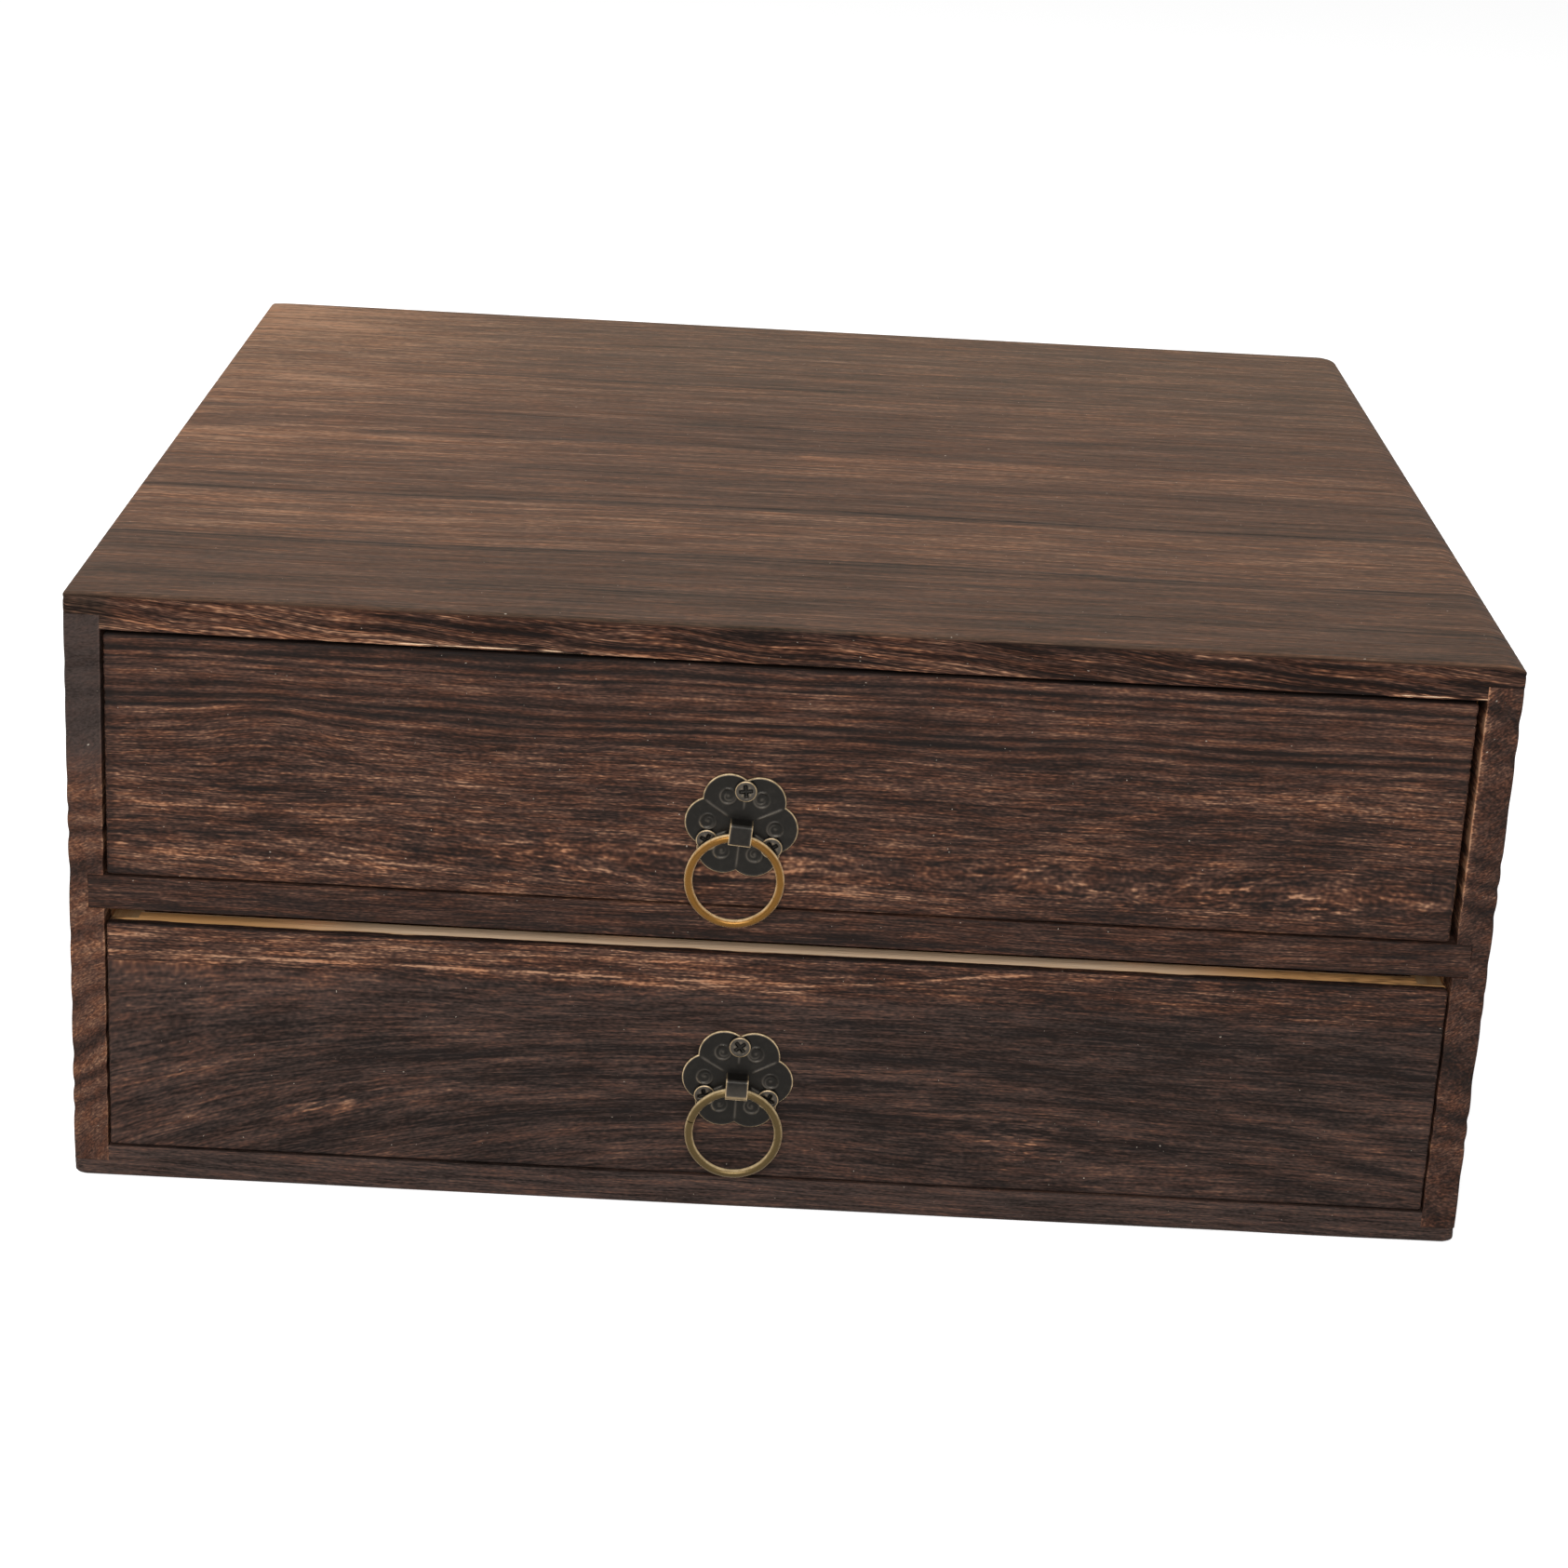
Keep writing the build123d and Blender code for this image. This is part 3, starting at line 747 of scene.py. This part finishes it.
def upper_front_wood(x, z, points):
    """Near-straight grain with clear growth lines at the top. Its lines rise over a hump at the
    left and fall a little to the right low on the board, where short dashes gather."""
    hump = 2.6 * spot(x, z, -122, 120, 15, 9)
    fall = 0.05 * np.minimum(x + 160, 110) * rise(-z, -98, -84)
    bend = fall - hump + 0.5 * waves(points, (90, 60, 60), 6)
    upper = rise(z, 116, 124)
    lines = growth_lines(z + bend, 2.9, 51)
    band = 1 - (1 - lines) * (0.35 + 0.65 * upper)
    tone = patches(x, z, upper_patches) + 0.05 + 0.40 * upper - 0.9 * upper * (1 - lines)
    tone = tone - 0.60 * stripe(z + bend - 125.5, 1.3) - 0.60 * rise(-x, 158.8, 160)
    tone = tone - 0.15 * rise(x, 30, 80) * stripe(z - 100, 18)
    dashes = np.clip(patches(x, z, upper_dash_patches), 0, 1)
    return bend, band, tone, 0.9 - 0.25 * upper, dashes, 0.0


def lower_front_wood(x, z, points):
    """Broad arches: below the top stretch, the grain falls away to the left, more so the lower
    it lies, and dark lines fall away to the right. The top stretch is straight and lighter,
    with one bright streak."""
    sunk = np.clip((57.5 - z) / 49, 0, 1) ** 0.85
    aside = np.abs(x - arch_middle)
    straight = 2 * arch_reach * aside - arch_reach ** 2
    arch = arch_bend * np.where(aside < arch_reach, aside ** 2, straight) * sunk
    bend = arch * (1 - 0.8 * rise(x, 0, 60)) + 0.7 * waves(points, (120, 60, 45), 9)
    below = 1 - rise(z, 56, 58.5)
    arch_lines = growth_lines(z + arch + 0.8 * waves(points, (60, 60, 20), 19), 9.5, 14)
    band = 1 - (1 - growth_lines(z + bend, 3.1, 61)) * 0.35
    streak_height = 60.2 + 5.8 * rise(x, 5, 65)
    rising = z - 0.27 * (x + 115)
    tone = patches(x, z, lower_patches) - 0.36 - 1.1 * below * (1 - arch_lines)
    tone = tone + 0.75 * (1 - below) * (1 - 0.8 * rise(x, -10, 80))
    tone = tone + 0.30 * rise(-x, 60, 140) * below - 0.45 * rise(x, 0, 40) * stripe(z - 48, 11)
    tone = tone + 2.2 * stripe(z - streak_height, 0.4) * rise(-x, -75, -45)
    tone = tone + 1.1 * stripe(z - 64.8, 0.5) * rise(-x, 0, 60)
    tone = tone + 0.60 * spot(x, rising, -100, 20.5, 28, 3)
    dashes = patches(x, z, lower_dash_patches) + spot(x, rising, -102, 20.5, 32, 4)
    # Below its top stretch the lower front gets a light painted sheen.
    return bend, band, tone, 0.75 + 0.2 * (1 - below), np.clip(dashes, 0, 1), 0.05 * below


# Ring pulls

class Pull:
    """Place of a ring pull: its middle on the drawer front, and its right, up and outward axes."""

    def __init__(self, level_name):
        joint = next(j for j in frame["joints"] if j["name"] == f"{level_name}_ring_hinge")
        self.name = level_name
        self.drawer = f"{level_name}_drawer"
        self.right = -np.array(joint["axis"], float)
        self.up = np.array([-self.right[2], 0, self.right[0]])
        self.outward = np.array([0.0, -1.0, 0.0])
        self.hinge = np.array(joint["pos_m"], float) / mm
        self.middle = self.hinge + self.up * hinge_drop - self.outward * hinge_standoff

    def points(self, u, v, w):
        """World points of places right, up and out of the pull's middle."""
        parts = zip((u, v, w), (self.right, self.up, self.outward))
        return self.middle + sum(np.asarray(part)[..., None] * axis for part, axis in parts)


def capped_tube(rows, columns, flip=False):
    """Faces of a grid whose columns close round, its first and last row drawn to two poles that
    are numbered after its points."""
    number = np.arange(rows * columns).reshape(rows, columns)
    after = np.roll(number, -1, 1)
    quads = np.stack([number[1:], after[1:], after[:-1], number[:-1]], -1).reshape(-1, 4)
    pole = np.full(columns, rows * columns)
    first = np.stack([number[0], after[0], pole], 1)
    last = np.stack([pole + 1, after[-1], number[-1]], 1)
    return [group[:, ::-1] if flip else group for group in (quads, first, last)]


def lobed_outline(angle):
    """Distance from the middle to the rim of the plate: the outer side of the nearest lobe."""
    lobe_circle = plate_width / 2 - lobe_radius
    turn = 2 * pi / lobe_count
    off = (angle + turn / 2) % turn - turn / 2
    return lobe_circle * np.cos(off) + np.sqrt(lobe_radius ** 2 - (lobe_circle * np.sin(off)) ** 2)


def plate_relief(u, v, rim_distance):
    """Height over the plate's own face, and how far it is brightened: a bead along the rim,
    a rib at every notch, and a curl in a ring and a dot on every lobe. The ribs, curls and dots
    are brightened by wear; the rim's bright line is partly wear and partly a painted highlight
    where its edge catches the light, and every curl has a painted highlight on its lower left."""
    radius = np.hypot(u, v)
    angle = np.arctan2(v, u)
    turn = 2 * pi / lobe_count
    notch_off = ((angle + turn) % turn - turn / 2) * radius
    lobe_angle = np.round(angle / turn) * turn
    curl_u = u - curl_circle_radius * np.cos(lobe_angle)
    curl_v = v - curl_circle_radius * np.sin(lobe_angle)
    from_curl = np.hypot(curl_u, curl_v)
    curl_angle = np.arctan2(curl_v, curl_u) - lobe_angle
    hand = np.where(np.round(angle / turn) % 2 == 0, 1, -1)
    spiral = 0.5 + 1.4 * ((hand * curl_angle / (2 * pi)) % 1)
    rim = stripe(rim_distance - 0.28, 0.22)
    on_rib = within(rib_inner_radius - radius, 4) * within(radius - rib_outer_radius, 4)
    rib = stripe(notch_off, 0.26) * on_rib
    curls = stripe(from_curl - curl_radius, 0.22) + 0.7 * stripe(from_curl - spiral, 0.2)
    dot = stripe(from_curl, 0.34)
    dish = -0.24 * stripe(from_curl, 2.4)
    height = 0.10 * rim + 0.20 * rib + 0.18 * curls + 0.16 * dot + dish
    # Painted highlight on the lower left of every curl.
    curl_highlight = 0.55 + 0.45 * np.cos(curl_angle + lobe_angle + 2.2)
    # Bright rim line: partly wear, partly a painted highlight where the edge catches the light.
    brightening = 0.9 * stripe(rim_distance - 0.12, 0.17) + 0.30 * rib
    return height, brightening + 0.34 * curls * curl_highlight + 0.25 * dot


def make_plate(pull, material):
    """Flower plate: a polar grid whose rows run from the middle to the lobed rim, round it and
    back behind, with the relief on its face."""
    columns = 360
    angle = np.arange(columns) * 2 * pi / columns
    outline = lobed_outline(angle)
    shares = np.concatenate([np.linspace(0.02, 0.86, 48), np.linspace(0.87, 1.0, 16)])
    radius = shares[:, None] * outline
    u, v = radius * np.cos(angle), radius * np.sin(angle)
    rim_distance = (outline - radius) * 0.93
    relief, brightening = plate_relief(u, v, rim_distance)
    fall = 0.34 * np.clip(1 - rim_distance / 0.45, 0, 1) ** 2
    w = plate_thickness - plate_doming + relief * np.clip(rim_distance / 0.3, 0, 1) - fall
    w += plate_doming * stripe(radius, 6.0)
    edge = 1 - np.array([0.004, 0.0, 0.004])
    edge_w = np.array([0.36, 0.2, 0.02])
    back = np.array([0.985, 0.5, 0.02])
    all_radius = np.vstack([radius, edge[:, None] * outline, back[:, None] * outline])
    all_w = np.vstack([w, np.repeat(edge_w[:, None], columns, 1), np.zeros((3, columns))])
    # The rim's turned edge is painted half bright: partly wear, partly a painted highlight.
    worn = np.vstack([brightening, np.full((3, columns), 0.5), np.zeros((3, columns))])
    rows = len(all_radius)
    points = pull.points(all_radius * np.cos(angle), all_radius * np.sin(angle), all_w)
    poles = pull.points(np.zeros(2), np.zeros(2), np.array([w[0].mean(), 0.0]))
    name = f"{pull.name}_pull_plate"
    make_piece(
        f"{name}_embossed", pull.drawer, np.vstack([points.reshape(-1, 3), poles]),
        capped_tube(rows, columns), material, (name,),
        {"worn": np.append(worn.ravel(), [0, 0])}, 50,
    )


def make_screws(pull, material):
    """Three pan-head screws: a profile turned round its axis, with a cross sunk in the head."""
    columns = 96
    angle = np.arange(columns) * 2 * pi / columns
    share = np.concatenate([np.linspace(0.03, 0.9, 30), np.linspace(0.92, 1.0, 8)])
    radius = share[:, None] * screw_head_radius + 0 * angle
    u, v = radius * np.cos(angle), radius * np.sin(angle)
    crown = screw_head_height * (0.62 + 0.38 * np.sqrt(np.clip(1 - (share * 0.97) ** 2.6, 0, 1)))
    slots = []
    for across, along in ((u, v), (v, u)):
        slots.append(within(abs(across) - recess_half_width, 18)
                     * within(abs(along) - recess_half_span, 10))
    cross = np.maximum(*slots)
    flecks = stripe(abs(u) - 0.95, 0.28) * stripe(abs(v) - 0.95, 0.28)
    w = crown[:, None] - recess_depth * cross + 0.05 * stripe(radius - 2.25, 0.15)
    lower = np.array([screw_head_radius, screw_head_radius, screw_shank_radius,
                      screw_shank_radius, 0.1])
    lower_w = np.array([0.45, 0.0, 0.0, -screw_taper_start, -screw_length])
    all_radius = np.vstack([radius, np.repeat(lower[:, None], columns, 1)])
    all_w = np.vstack([w, np.repeat(lower_w[:, None], columns, 1)])
    brightening = np.maximum(0.7 * stripe(radius - 2.45, 0.16), 0.26 * (1 - cross) + 0.2 * flecks)
    worn = np.vstack([brightening, np.zeros((len(lower), columns))])
    rows = len(all_radius)
    size = rows * columns + 2
    points, faces, marks = [], [], []
    for index, screw_turn in enumerate(screw_turns[pull.name]):
        around = radians(90 + 120 * index)
        turn = angle + radians(screw_turn)
        centre_u, centre_v = screw_circle_radius * cos(around), screw_circle_radius * sin(around)
        head = pull.points(
            centre_u + all_radius * np.cos(turn), centre_v + all_radius * np.sin(turn),
            plate_thickness + all_w,
        )
        poles = pull.points(
            np.full(2, centre_u), np.full(2, centre_v),
            plate_thickness + np.array([w[0].mean(), -screw_length]),
        )
        points += [head.reshape(-1, 3), poles]
        faces += [group + index * size for group in capped_tube(rows, columns)]
        marks += [worn.ravel(), [0, 0]]
    name = f"{pull.name}_pull_screws"
    make_piece(
        f"{name}_crossed", pull.drawer, np.vstack(points), faces, material, (name,),
        {"worn": np.concatenate(marks)}, 50,
    )


def make_ring(pull, material):
    """Ring of bent wire: a circle carried round a larger circle, which stops short of closing."""
    wire_circle = ring_diameter / 2 - ring_wire_radius
    gap = ring_split_gap / wire_circle
    rows, columns = 240, 32
    start = radians(split_angles[pull.name]) + gap / 2
    around = start + np.linspace(0, 2 * pi - gap, rows)[:, None]
    turn = np.arange(columns) * 2 * pi / columns
    radius = wire_circle + ring_wire_radius * np.cos(turn)
    u = radius * np.cos(around)
    v = -hinge_drop - wire_circle + radius * np.sin(around)
    w = hinge_standoff + ring_wire_radius * np.sin(turn) + 0 * around
    points = pull.points(u, v, w).reshape(-1, 3)
    ends = pull.points(
        wire_circle * np.cos(around[[0, -1], 0]),
        -hinge_drop - wire_circle + wire_circle * np.sin(around[[0, -1], 0]),
        np.full(2, hinge_standoff),
    )
    # Painted highlights: the wire is painted bright along its outer and inner rims, where it turns from
    # view, and darker on its middle that faces out.
    brightening = rise(np.abs(np.cos(turn)), 0.45, 1.0) + 0 * around
    name = f"{pull.name}_pull_ring"
    make_piece(
        f"{name}_round", f"{pull.name}_ring", np.vstack([points, ends]),
        capped_tube(rows, columns), material, (name,),
        {"worn": np.append(brightening.ravel(), [0, 0])}, 50,
    )


def rounded_path(corners, radii, rows=7):
    """Points along straight runs joined by arcs: each corner is cut back and given points on
    the circle that touches both of its runs."""
    corners = np.array(corners, float)
    path = [corners[0]]
    for before, corner, after, radius in zip(corners, corners[1:], corners[2:], radii):
        back = (before - corner) / np.linalg.norm(before - corner)
        ahead = (after - corner) / np.linalg.norm(after - corner)
        half = np.arccos(np.clip(back @ ahead, -1, 1)) / 2
        bisector = (back + ahead) / np.linalg.norm(back + ahead)
        centre = corner + bisector * radius / sin(half)
        first = corner + back * radius / np.tan(half) - centre
        last = corner + ahead * radius / np.tan(half) - centre
        share = np.linspace(0, 1, rows)[:, None]
        opening = np.arccos(np.clip(first @ last / radius ** 2, -1, 1))
        blend = np.sin((1 - share) * opening) * first + np.sin(share * opening) * last
        path.extend(centre + blend / sin(opening))
    path.append(corners[-1])
    return np.array(path)


def make_strap(pull, material):
    """Strap: a flat section with rounded edges carried along its bent path. The path lies in
    the plane through the pull's middle that is square to the drawer front."""
    loop = ring_wire_radius + strap_wire_clearance + strap_thickness / 2
    leg = (strap_thickness + strap_leg_gap) / 2
    tail = -front_thickness - strap_thickness / 2
    upper, lower = strap_slot_rise + leg, strap_slot_rise - leg
    outer_run = rounded_path(
        [(tail, upper + strap_tail_length), (tail, upper), (hinge_standoff + loop, upper),
         (hinge_standoff + loop, -hinge_drop)], (strap_tail_radius, strap_shoulder_radius))
    bend = np.linspace(0, -pi, 25)[1:-1, None]
    around = np.hstack([hinge_standoff + loop * np.cos(bend), -hinge_drop + loop * np.sin(bend)])
    inner_run = rounded_path(
        [(hinge_standoff - loop, -hinge_drop), (hinge_standoff - loop, lower), (tail, lower),
         (tail, lower - strap_tail_length)], (strap_neck_radius, strap_tail_radius))
    path = np.vstack([outer_run, around, inner_run])
    heading = np.gradient(path, axis=0)
    heading /= np.linalg.norm(heading, axis=1, keepdims=True)
    normal = np.stack([heading[:, 1], -heading[:, 0]], 1)
    half_width, half_thickness, corner = strap_width / 2, strap_thickness / 2, strap_corner_radius
    turn = np.linspace(-pi / 2, pi / 2, 7)
    arc_across = half_width - corner + corner * np.cos(turn)
    arc_through = np.sign(np.round(turn, 6)) * (half_thickness - corner) + corner * np.sin(turn)
    flat = np.linspace(half_width - corner, corner - half_width, 20)[1:-1]
    across = np.concatenate([arc_across, flat, -arc_across, -flat])
    level = np.full(len(flat), half_thickness)
    through = np.concatenate([arc_through, level, -arc_through, -level])
    w = path[:, :1] + normal[:, :1] * through
    v = path[:, 1:] + normal[:, 1:] * through
    u = across + 0 * w
    rows, columns = w.shape
    points = pull.points(u, v, w).reshape(-1, 3)
    ends = pull.points(np.zeros(2), path[[0, -1], 1], path[[0, -1], 0])
    # Painted highlights on the strap's side edges; the line low on its bend is partly wear, partly a
    # painted highlight; the lower face is partly worn brass, partly painted light.
    edge_highlight = stripe(np.abs(across) - half_width, 0.30)
    bend_wear_and_highlight = stripe(v + hinge_drop + loop - 0.15, 0.35)
    lower_face = stripe(v + hinge_drop + loop - 0.9, 0.7)
    outer_face = rise(w, hinge_standoff, hinge_standoff + 1.2)
    brightening = 0.02 + strap_face_brightening[pull.name] * lower_face
    worn = np.maximum(np.maximum(0.8 * edge_highlight, bend_wear_and_highlight), brightening)
    worn = worn * outer_face
    name = f"{pull.name}_pull_strap"
    make_piece(
        f"{name}_bent", pull.drawer, np.vstack([points, ends]),
        capped_tube(rows, columns, True), material, (name,),
        {"worn": np.append(worn.ravel(), [0, 0])}, 40,
    )


def antiqued_metal(name, roughness, stops):
    """Antiqued brass or bronze: dark in its hollows, and brighter by its attribute for wear and painted
    highlights.
    """
    paint = new_paint(name)
    x, y, z = paint.place()
    mottle = paint.noise(x / 1.6, y / 1.6, z / 1.6, 3.0, 0.6)
    amount = paint.attribute("worn") * (0.75 + mottle * 0.5) + (mottle - 0.5) * 0.12
    return paint.surface(
        Base_Color=paint.ramp(amount, stops),
        Metallic=0.85 - amount * 0.55,
        Roughness=roughness + (mottle - 0.5) * 0.2,
        Normal=paint.bump(mottle, 0.02 * mm),
    )


# Studio

camera_place = Vector((-6.3, -916.1, 385.8)) * mm
camera_heading = 0.41
camera_pitch = -19.93
camera_roll = 3.10
camera_lens = 78.5
camera_sensor = 36.0
camera_near = 0.05

# Soft lights: name, place and width in metres, and power in watts
light_target = Vector((0, 0, 0.07))
soft_lights = (
    ("front_softbox", (-0.1, -1.75, 0.98), 0.9, 24),
    ("overhead_softbox", (-0.4, 0.25, 1.3), 1.2, 10),
    ("left_softbox", (-1.4, -0.9, 0.9), 0.9, 3),
)
room_light = 0.35
floor_colour = (0.8, 0.8, 0.8, 1)
floor_glow = 0.65
floor_reach = 6.0


def make_camera():
    """Camera at the photograph's place: heading and pitch of its axis, then its roll."""
    heading, pitch = radians(camera_heading), radians(camera_pitch)
    ahead = Vector((sin(heading) * cos(pitch), cos(heading) * cos(pitch), sin(pitch)))
    camera = bpy.data.objects.new("camera", bpy.data.cameras.new("camera"))
    bpy.context.collection.objects.link(camera)
    camera.location = camera_place
    camera.rotation_mode = "QUATERNION"
    upright = ahead.to_track_quat("-Z", "Y")
    camera.rotation_quaternion = upright @ Quaternion((0, 0, 1), radians(camera_roll))
    camera.data.lens = camera_lens
    camera.data.sensor_width = camera_sensor
    camera.data.clip_start = camera_near
    bpy.context.scene.camera = camera


def make_floor():
    """White floor, which shows the object's shadow faintly to the camera."""
    paint = new_paint("studio_floor")
    material = paint.surface(
        Base_Color=floor_colour, Roughness=1.0, Specular_IOR_Level=0.0,
        Emission_Color=(1, 1, 1, 1), Emission_Strength=paint.seen_rays() * floor_glow,
    )
    corners = [(x * floor_reach, y * floor_reach, 0) for x, y in ((-1, -1), (1, -1), (1, 1), (-1, 1))]
    mesh = bpy.data.meshes.new("floor")
    mesh.from_pydata(corners, [], [(0, 1, 2, 3)])
    mesh.materials.append(material)
    floor = bpy.data.objects.new("floor", mesh)
    bpy.context.collection.objects.link(floor)


def make_light(name, place, size, power):
    """A square soft light that points at the object's middle."""
    lamp = bpy.data.lights.new(name, "AREA")
    lamp.shape = "SQUARE"
    lamp.size = size
    lamp.energy = power
    light = bpy.data.objects.new(name, lamp)
    bpy.context.collection.objects.link(light)
    light.location = place
    light.rotation_mode = "QUATERNION"
    light.rotation_quaternion = (light_target - Vector(place)).to_track_quat("-Z", "Y")


def make_studio():
    """Soft even light from a pale room, with a large soft light over the object's front."""
    world = bpy.data.worlds.new("studio")
    bpy.context.scene.world = world
    paint = Paint(world, "ShaderNodeOutputWorld")
    brightness = {"Value": paint.seen_rays(), "To Min": room_light, "To Max": 1.0}
    strength = paint.node("ShaderNodeMapRange", None, brightness)
    values = {"Color": (1, 1, 1, 1), "Strength": strength}
    paint.finish(paint.node("ShaderNodeBackground", None, values))
    for name, place, size, power in soft_lights:
        make_light(name, place, size, power)
    bpy.context.scene.view_settings.view_transform = "Standard"


# Everything

make_camera()
make_studio()
make_floor()

make_top_panel()
make_bottom_panel()
make_side_panel("right_side_panel", 1)
make_side_panel("left_side_panel", -1)
make_middle_shelf()
make_drawer_front("upper", upper_front_wood, 3.0, 51)
make_drawer_front("lower", lower_front_wood, 2.4, 61)

bronze = antiqued_metal("dark_bronze", 0.40, [
    (0.0, colour(27, 25, 22)), (0.35, colour(69, 63, 55)), (0.65, colour(142, 120, 86)),
    (0.95, colour(250, 222, 178))])
brass = antiqued_metal("antique_brass", 0.28, [
    (0.0, colour(102, 70, 26)), (0.5, colour(150, 108, 54)), (1.0, colour(244, 212, 162))])
old_brass = antiqued_metal("dull_brass", 0.30, [
    (0.0, colour(76, 62, 36)), (0.5, colour(116, 96, 60)), (1.0, colour(228, 202, 156))])
for level_name, ring_metal in (("upper", brass), ("lower", old_brass)):
    pull = Pull(level_name)
    make_plate(pull, bronze)
    make_screws(pull, bronze)
    make_ring(pull, ring_metal)
    make_strap(pull, bronze)

pale_colours = (colour(205, 172, 128), colour(178, 140, 96))
pale = plain_wood("pale_wood", *pale_colours, 2.2)
pale_side = plain_wood("pale_side_wood", *pale_colours, 2.2, True)
panel = plain_wood("panel_wood", colour(190, 156, 112), colour(166, 128, 86), 4.0)
steel_paint = new_paint("plain_steel")
steel_x, steel_y, steel_z = steel_paint.place()
steel_grain = steel_paint.noise(steel_x / 0.8, steel_y / 0.8, steel_z / 0.8, 3.0)
steel = steel_paint.surface(
    Base_Color=steel_paint.mix(steel_grain, colour(150, 148, 146), colour(196, 194, 190)),
    Metallic=1.0, Roughness=0.35 + steel_grain * 0.2,
)
finishes = {
    "drawer_left_side": pale_side, "drawer_right_side": pale_side, "drawer_back": pale,
    "drawer_bottom": panel, "back_panel": panel, "staples": steel,
}
for node_name, node_object in frame["nodes"].items():
    for ending, finish in finishes.items():
        if node_name.endswith(ending):
            node_object.data.materials.clear()
            node_object.data.materials.append(finish)
